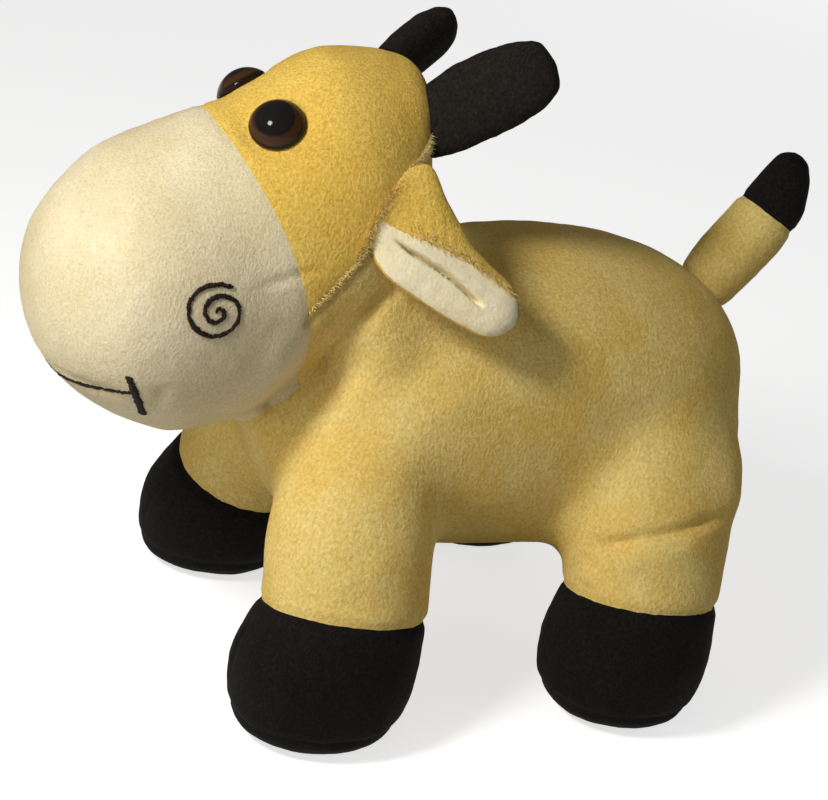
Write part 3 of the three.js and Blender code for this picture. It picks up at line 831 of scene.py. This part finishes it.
figure = stuffed("figure", figure_nodes, figure_fills, FIGURE_VOXEL, FIGURE_SOFTENING)
plump(figure, FIGURE_PLUMPNESS)
stuff(figure)
refine(figure, 2)
figure_labels = Labels(figure_nodes)
crease(figure, figure_seams, figure_labels)
for depth, half_width, places in FOLDS.values():
    fold(figure, depth, half_width, places)
    fold(figure, depth, half_width, mirrored(places))
fold(figure, *CROWN)
fold(figure, *CHEST_SEAM)
for side in SIDES:
    seat_eye(figure, side)
lump(figure, 3.0)
points, _ = points_of(figure)
points[:, 2] = np.maximum(points[:, 2], 0)
set_points(figure, points)
pieces = parted(figure, figure_seams, figure_labels, figure_covers)

paint(pieces["torso"], yellow)
paint(pieces["face"], head_yellow)
paint(pieces["muzzle"], cream)
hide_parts("body_cover", "nape_cover", "body_fill")
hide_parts("face_cover", "head_fill")
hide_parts("muzzle_cover")
muzzle_tree = tree_of(pieces["muzzle"])
for name in ("face", "muzzle"):
    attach(pieces[name], "head")
for leg in LEGS:
    hoof, sole = pieces[f"hoof_{leg}"], pieces[f"hoof_sole_{leg}"]
    paint(hoof, black)
    paint(sole, black)
    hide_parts(f"hoof_cover_{leg}", f"leg_fill_{leg}")
    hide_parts(f"sole_{leg}")
    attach(hoof, "body")
    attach(sole, "body")
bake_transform(pieces["torso"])


# Horns


def horn(side):
    """A stuffed horn, whose root goes into the head."""
    cover, fill = f"horn_cover_{side}", f"horn_fill_{side}"
    piece = refine(stuffed(f"horn_{side}", [cover], [fill], SMALL_VOXEL, SMALL_SOFTENING), 1)
    plump(piece, SMALL_PLUMPNESS)
    points, _ = points_of(piece)
    far = np.linalg.norm(points - np.array(neck_point), axis=1)
    tip, root = points[far.argmax()], points[far < far.min() + ROOT_REACH].mean(axis=0)
    set_in(piece, root, (tip - root) / np.linalg.norm(tip - root))
    lump(piece, 9.0)
    paint(piece, horn_black)
    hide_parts(cover, fill)
    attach(piece, "head")


# Ears


def along(values, runs):
    """Values listed along the ear, smoothed between their stations."""
    shifts = (-1.5, -0.75, 0, 0.75, 1.5)
    return sum(np.interp(runs + shift, EAR_STATIONS, values) for shift in shifts) / len(shifts)


def ear_axes():
    """The left ear's root, and its ways along its run, down its seam and outwards."""
    root, seam = joint_place("ear_left_flap")
    points = [vert.co for vert in frame["nodes"]["ear_outer_left"].data.vertices]
    run = max(points, key=lambda point: (point - root).length) - root
    run = (run - seam * run.dot(seam)).normalized()
    outward = run.cross(seam)
    if outward.x < 0:
        outward.negate()
    return root, run, seam, outward


def ear_surface(share_along, turn, cream_side):
    """Places on the ear's cloth. Turn goes once over the panel, from one of its borders to the other."""
    first = EAR_STATIONS[0]
    runs = first + (EAR_LENGTH - first) * np.sin(share_along * math.pi / 2)
    upper, lower = along(EAR_UPPER_EDGE, runs), along(EAR_LOWER_EDGE, runs)
    ending = np.clip((runs - EAR_LENGTH + EAR_TIP_ROUNDING) / EAR_TIP_ROUNDING, 0, 1)
    rounding = np.sqrt(np.maximum(1 - ending**2, 0))
    middle = (upper + lower) / 2
    half = (lower - upper) / 2 * rounding
    ragged = sum(np.sin(runs * rate + start) * height for rate, start, height in EAR_BORDER_WAVES)
    border = np.clip((middle - along(EAR_BORDER, runs) - ragged) / np.maximum(half, 0.01), -0.97, 0.97)
    border_turn = np.arccos(border)
    if cream_side:
        angle = border_turn + (EAR_RIM_TURN - border_turn) * turn
    else:
        angle = EAR_RIM_TURN + (math.tau - EAR_RIM_TURN + border_turn) * turn
    down = middle - half * np.cos(angle)
    swell = np.abs(np.sin(angle)) ** 0.75 * rounding**0.6
    at_root, whole = EAR_THICKENING
    thick = at_root + (1 - at_root) * smoothstep(runs / whole)
    front = np.sin(angle) >= 0
    out = np.where(front, EAR_FRONT, -EAR_BACK) * swell * thick
    (start, end), (opens, closes) = EAR_SLIT_RUN, EAR_SLIT_OPENING
    opening = smoothstep((runs - start) / opens) * smoothstep((end - runs) / closes)
    off_slit = (down - along(EAR_SLIT, runs)) / EAR_SLIT_HALF_WIDTH
    out -= np.where(front, np.exp(-(off_slit**2)) * EAR_SLIT_DEPTH * opening, 0)
    if not cream_side:
        wrinkled = smoothstep((down + 3) / 4) * smoothstep((9 - np.abs(runs - 9)) / 5)
        wrinkles = np.sin(down * 1.3 - runs * 2.2) * wrinkled
        out -= np.where(front, np.maximum(wrinkles, 0) * EAR_WRINKLE, 0)
    return runs, down, out


def ear_panel(side, cream_side):
    """One cloth of an ear, as a sheet with a thickness."""
    root, run, seam, outward = ear_axes()
    bm = bmesh.new()
    bmesh.ops.create_grid(bm, x_segments=EAR_SEGMENTS[0], y_segments=EAR_SEGMENTS[1], size=0.5)
    grid = np.array([vert.co for vert in bm.verts])
    runs, down, out = ear_surface(grid[:, 1] + 0.5, grid[:, 0] + 0.5, cream_side)
    places = np.array(root) + MM * (np.outer(runs, run) + np.outer(down, seam) + np.outer(out, outward))
    places[:, 0] *= SIDES[side]
    for vert, place in zip(bm.verts, places):
        vert.co = place
    bmesh.ops.remove_doubles(bm, verts=bm.verts, dist=0.01 * MM)
    bm.normal_update()
    middle = Vector(places.mean(axis=0))
    if sum((face.calc_center_median() - middle).dot(face.normal) for face in bm.faces) < 0:
        bmesh.ops.reverse_faces(bm, faces=bm.faces)
    bmesh.ops.solidify(bm, geom=bm.faces[:], thickness=EAR_CLOTH)
    bmesh.ops.recalc_face_normals(bm, faces=bm.faces)
    return bm


def ear(side):
    """A leaf of two cloths, folded along its length so that cream lips meet over a slit."""
    root, run, _, _ = ear_axes()
    root, run = on_side(root, side), on_side(run, side)
    for part, cream_side, material, slot in (
        ("outer", False, head_yellow, "yellow_velour"), ("inner", True, ear_cream, "cream_velour")):
        piece = as_object(f"ear_cloth_{part}_{side}", ear_panel(side, cream_side))
        lump(piece, 5.0)
        paint(piece, material)
        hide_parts(f"ear_{part}_{side}")
        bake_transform(piece)


# Tail


def tail():
    """The tail and its tip, stuffed as one form and parted at their seam."""
    covers = {"tail_root": ["tail_cover"], "tail_tip": ["tail_tip_cover"]}
    nodes = [node for group in covers.values() for node in group]
    form = refine(stuffed("tail_form", nodes, ["tail_fill"], SMALL_VOXEL, SMALL_SOFTENING), 1)
    plump(form, SMALL_PLUMPNESS)
    pivot, _ = joint_place("tail_swing")
    seam = Seam(rim("tail_tip_cover", TAIL_TIP_BACK), nodes, TAIL_SEAM)
    labels = Labels(nodes)
    crease(form, [seam], labels)
    set_in(form, pivot, TAIL_WAY)
    lump(form, 7.0)
    made = parted(form, [seam], labels, covers)
    paint(made["tail_root"], yellow)
    paint(made["tail_tip"], black)
    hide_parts("tail_cover", "tail_fill")
    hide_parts("tail_tip_cover")
    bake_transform(made["tail_root"])
    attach(made["tail_tip"], "tail")


# Eyes


def lathe(name, profile, middle, axis, segments=48):
    """A solid of revolution. The profile's heights run along the axis from the middle."""
    bm = bmesh.new()
    verts = [bm.verts.new((radius, 0, height)) for radius, height in profile]
    edges = [bm.edges.new(pair) for pair in zip(verts, verts[1:])]
    bmesh.ops.spin(bm, geom=verts + edges, cent=(0, 0, 0), axis=(0, 0, 1), dvec=(0, 0, 0),
                   angle=2 * math.pi, steps=segments, use_merge=True, use_duplicate=False)
    bmesh.ops.remove_doubles(bm, verts=bm.verts, dist=0.001 * MM)
    bmesh.ops.recalc_face_normals(bm, faces=bm.faces)
    place = Matrix.Translation(middle) @ axis.to_track_quat("Z", "Y").to_matrix().to_4x4()
    bmesh.ops.transform(bm, matrix=place, verts=bm.verts)
    return as_object(name, bm)


def eye(side):
    """A safety eye's dome, on the cloth that its washer draws in."""
    back, facing = eye_place(side)
    radius = (EYE_RADIUS**2 + EYE_DOME**2) / (2 * EYE_DOME)
    edge = math.asin(EYE_RADIUS / radius)
    width, height = EYE_EDGE
    dome = [(0, -EYE_SUNK), (EYE_RADIUS - width, -EYE_SUNK), (EYE_RADIUS, height)]
    for i in range(EYE_STEPS + 1):
        angle = edge * (1 - i / EYE_STEPS)
        dome.append((radius * math.sin(angle), EYE_RIM + EYE_DOME - radius * (1 - math.cos(angle))))
    dome[-1] = (0, dome[-1][1])
    lens = lathe(f"eye_dome_{side}", dome, back, facing)
    paint(lens, eye_plastic(f"eye amber {side}", back, facing))
    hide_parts(f"eye_lens_{side}")
    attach(lens, "head")


# Embroidery


def stitched(name, lines, node):
    """Rows of short satin stitches, each a rounded bar of thread that leans across its line."""
    places = []
    for line, width, lean, pitch in lines:
        seats = [muzzle_tree.find_nearest(place) for place in line]
        lengths = np.cumsum([0] + [(b[0] - a[0]).length for a, b in zip(seats, seats[1:])])
        count = max(2, round(lengths[-1] / (width * pitch)))
        for i, distance in enumerate(np.linspace(0, lengths[-1], count)):
            j = min(int(np.searchsorted(lengths, distance, "right")) - 1, len(seats) - 2)
            share = (distance - lengths[j]) / max(lengths[j + 1] - lengths[j], 1e-9)
            place = seats[j][0].lerp(seats[j + 1][0], share)
            normal = seats[j][1].lerp(seats[j + 1][1], share).normalized()
            tangent = (seats[j + 1][0] - seats[j][0]).normalized()
            turn = lean + 0.5 * noise.noise(place / (0.4 * MM))
            forward = Matrix.Rotation(turn, 3, normal) @ tangent
            across = normal.cross(forward).normalized()
            size = width * (1 + 0.4 * noise.noise(place / (0.7 * MM) + Vector((9, 0, 0))))
            place = place + across * (0.16 * width * noise.noise(place / (0.5 * MM) + Vector((0, 9, 0))))
            turned = Matrix((forward, across, normal)).transposed().to_4x4()
            shape = Matrix.Diagonal((*(size * share for share in STITCH_SHAPE), 1))
            placed = Matrix.Translation(place + normal * size * 0.08) @ turned
            places.append(placed @ shape @ Matrix.Scale(STITCH_SCALE, 4))
    piece = as_object(name, gathered(places, lambda bm, place: bmesh.ops.create_uvsphere(
        bm, u_segments=10, v_segments=6, radius=1.0, matrix=place)))
    paint(piece, black_thread)
    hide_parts(node)
    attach(piece, "head")


def nostril(side):
    """A spiral of stitches on the muzzle's side."""
    low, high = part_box(f"nostril_stitching_{side}")
    centre = (low + high) / 2 + NOSTRIL_PLACE
    line = []
    for turn in np.linspace(NOSTRIL_TURNS[0], NOSTRIL_TURNS[-1], 110):
        radius = sum(np.interp(turn + shift, NOSTRIL_TURNS, NOSTRIL_RADII) for shift in (-20, 0, 20)) / 3 * MM
        angle = math.radians(turn)
        line.append(centre + Vector((0, radius * math.cos(angle), radius * math.sin(angle))))
    row = (line, NOSTRIL_THREAD, NOSTRIL_LEAN, LINE_PITCH)
    stitched(f"nostril_spiral_{side}", [row], f"nostril_stitching_{side}")


def mouth():
    """A line of stitches round the muzzle, with a bar at each corner."""
    turns = np.radians(np.linspace(-MOUTH_CORNER_TURN, MOUTH_CORNER_TURN, MOUTH_STEPS))
    line = []
    for turn in turns:
        share = (turn / math.radians(MOUTH_CORNER_TURN)) ** 2
        height = MOUTH_MIDDLE_HEIGHT + (MOUTH_CORNER_HEIGHT - MOUTH_MIDDLE_HEIGHT) * share
        start = Vector((0, MOUTH_CENTRE, height * MM))
        line.append(muzzle_tree.ray_cast(start, Vector((math.sin(turn), -math.cos(turn), 0)))[0])
    rows = []
    for first, last, share in MOUTH_PARTS:
        rows.append((line[first:last], share * MOUTH_THREAD, MOUTH_LEAN, LINE_PITCH))
    for bar in (MOUTH_BAR, mirrored(MOUTH_BAR)):
        rows.append((smooth_line(bar), CORNER_THREAD, CORNER_LEAN, CORNER_PITCH))
    stitched("mouth", rows, "mouth_stitching")


# Loose pile


def scattered(count):
    """Pairs of shares from 0 to 1 that fill an area evenly."""
    return [(i * 0.618034 % 1, i * 0.414214 % 1) for i in range(count)]


def tufts(name, seats, body, seed):
    """Short fibres that stand on the cloth at each seat: a place, a normal and a way to lean."""
    fibres = []
    for i, (place, normal, lean) in enumerate(seats):
        offsets = (Vector((seed, 0, i)), Vector((0, seed, i)), Vector((i, 0, seed)))
        wobble = Vector([noise.noise(place * TUFT_WOBBLE_SCALE + offset) for offset in offsets])
        direction = (normal * 0.8 + lean * 0.7 + wobble * 1.1).normalized()
        length = TUFT_LENGTH * (0.7 + 0.6 * abs(wobble.x + wobble.y))
        turned = direction.to_track_quat("Z", "Y").to_matrix().to_4x4()
        middle = place - normal * TUFT_ROOT + direction * length * 0.5
        fibres.append((length, Matrix.Translation(middle) @ turned))
    piece = as_object(name, gathered(fibres, lambda bm, fibre: bmesh.ops.create_cone(
        bm, cap_ends=True, segments=3, radius1=TUFT_WIDTH, radius2=TUFT_WIDTH * 0.15,
        depth=fibre[0], matrix=fibre[1])))
    paint(piece, loose_pile_painted_light)
    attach(piece, body)


def head_seam_tufts(face):
    """Pile that was caught in the seam behind the face and stands up along it."""
    tree = tree_of(face)
    right = head_normal.cross(UP).normalized()
    up = right.cross(head_normal).normalized()
    seats = []
    for i, (share_round, share_inward) in enumerate(scattered(HEAD_TUFTS)):
        turn = math.tau * share_round
        out = right * math.cos(turn) + up * math.sin(turn)
        inward = 0.2 + 2.4 * share_inward
        centre = head_back - head_normal * inward * MM
        hit, normal, _, _ = tree.ray_cast(centre + out * 60 * MM, -out)
        if hit is not None:
            seats.append((hit, normal, head_normal if i % 3 else out.cross(head_normal)))
    tufts("head_seam_pile", seats, "head", 4.0)


def ear_line_tufts(face, side):
    """Pile along the seam that holds an ear, on the face's side of it."""
    tree = tree_of(face)
    line = [on_side(place, side) for place in smooth_line(EAR_LINE)]
    seats = []
    for share_along, share_across in scattered(EAR_LINE_TUFTS):
        at = share_along * (len(line) - 1.001)
        start, end = line[int(at)], line[int(at) + 1]
        along_seam = (end - start).normalized()
        _, normal, _, _ = tree.find_nearest(start)
        across = normal.cross(along_seam) * (share_across - 0.5) * EAR_LINE_WIDTH
        place, normal, _, _ = tree.find_nearest(start.lerp(end, at % 1) + across)
        seats.append((place, normal, head_normal * -0.6 + along_seam * 0.5))
    tufts(f"ear_seam_pile_{side}", seats, "head", 6.0)


def ear_tufts(side):
    """Yellow pile that hangs over the border of an ear's cream cloth."""
    root, run, seam, outward = ear_axes()
    seats = []
    for share_along, share_inward in scattered(EAR_TUFTS):
        share, turn = np.array([0.12 + 0.82 * share_along]), np.array([1.0 - 0.05 * share_inward])
        runs, down, out = ear_surface(share, turn, False)
        place = root + MM * (run * runs[0] + seam * down[0] + outward * out[0])
        seats.append([on_side(vector, side) for vector in (place, outward, seam * 0.7 + run * 0.3)])
    tufts(f"ear_pile_{side}", seats, f"ear_{side}", 8.0)


for side in SIDES:
    horn(side)
    ear(side)
    ear_tufts(side)
    eye(side)
    nostril(side)
tail()
mouth()
head_seam_tufts(pieces["face"])
for side in SIDES:
    ear_line_tufts(pieces["face"], side)
for side in SIDES:
    paint(frame["nodes"][f"eye_stem_{side}"], pupil_black)
    paint(frame["nodes"][f"eye_washer_{side}"], natural_plastic)


# Floor, light and camera


def backdrop():
    """A pale floor that the camera sees as white, and that keeps the toy's shadow."""
    bm = bmesh.new()
    bmesh.ops.create_grid(bm, x_segments=1, y_segments=1, size=FLOOR_REACH)
    floor = as_object("floor", bm)
    material = bpy.data.materials.new("pale floor")
    nodes = Nodes(material, "Principled BSDF")
    path = nodes.nodes.new("ShaderNodeLightPath").outputs
    seen = nodes.math("MAXIMUM", path["Is Camera Ray"], path["Is Glossy Ray"])
    seen = nodes.math("MAXIMUM", seen, path["Is Transmission Ray"])
    nodes.feed(nodes.end, {
        "Base Color": nodes.ramp(seen, [(i, (grey, grey, grey, 1)) for i, grey in enumerate(FLOOR_TONES)]),
        "Roughness": 0.95,
        "Emission Color": (1, 1, 1, 1),
        "Emission Strength": nodes.math("MULTIPLY", seen, FLOOR_PALENESS),
    })
    floor.data.materials.append(material)


def area_light(name, place, size, power, colour, glints):
    """A round lamp that looks at the toy. Only one with glints is mirrored in gloss."""
    light = bpy.data.lights.new(name, "AREA")
    light.shape = "DISK"
    light.size = size
    light.energy = power
    light.color = colour
    obj = in_scene(name, light)
    obj.location = place
    obj.rotation_mode = "QUATERNION"
    obj.rotation_quaternion = (LIGHT_TARGET - Vector(place)).to_track_quat("-Z", "Y")
    obj.visible_glossy = glints


def lights():
    for lamp in LAMPS:
        area_light(*lamp)
    world = bpy.data.worlds.new("studio")
    nodes = Nodes(world, "Background")
    path = nodes.nodes.new("ShaderNodeLightPath").outputs
    seen = nodes.math("MAXIMUM", path["Is Camera Ray"], path["Is Transmission Ray"])
    strength = nodes.math("MULTIPLY_ADD", seen, 1 - WORLD_LIGHT, WORLD_LIGHT)
    nodes.feed(nodes.end, {"Color": (1, 1, 1, 1), "Strength": strength})
    bpy.context.scene.world = world


def camera():
    back = Vector((
        math.sin(CAMERA_AZIMUTH) * math.cos(CAMERA_ELEVATION),
        -math.cos(CAMERA_AZIMUTH) * math.cos(CAMERA_ELEVATION),
        math.sin(CAMERA_ELEVATION),
    ))
    right = UP.cross(back).normalized()
    up = back.cross(right)
    turned_right = right * math.cos(CAMERA_ROLL) + up * math.sin(CAMERA_ROLL)
    turned_up = up * math.cos(CAMERA_ROLL) - right * math.sin(CAMERA_ROLL)
    data = bpy.data.cameras.new("camera")
    data.lens = CAMERA_LENS
    data.sensor_width = CAMERA_SENSOR
    data.sensor_fit = "HORIZONTAL"
    data.clip_start = 0.01
    obj = in_scene("camera", data)
    rotation = Matrix((turned_right, turned_up, back)).transposed().to_4x4()
    obj.matrix_world = Matrix.Translation(CAMERA_TARGET + back * CAMERA_DISTANCE) @ rotation
    bpy.context.scene.camera = obj


backdrop()
lights()
camera()
bpy.context.scene.view_settings.view_transform = "Standard"
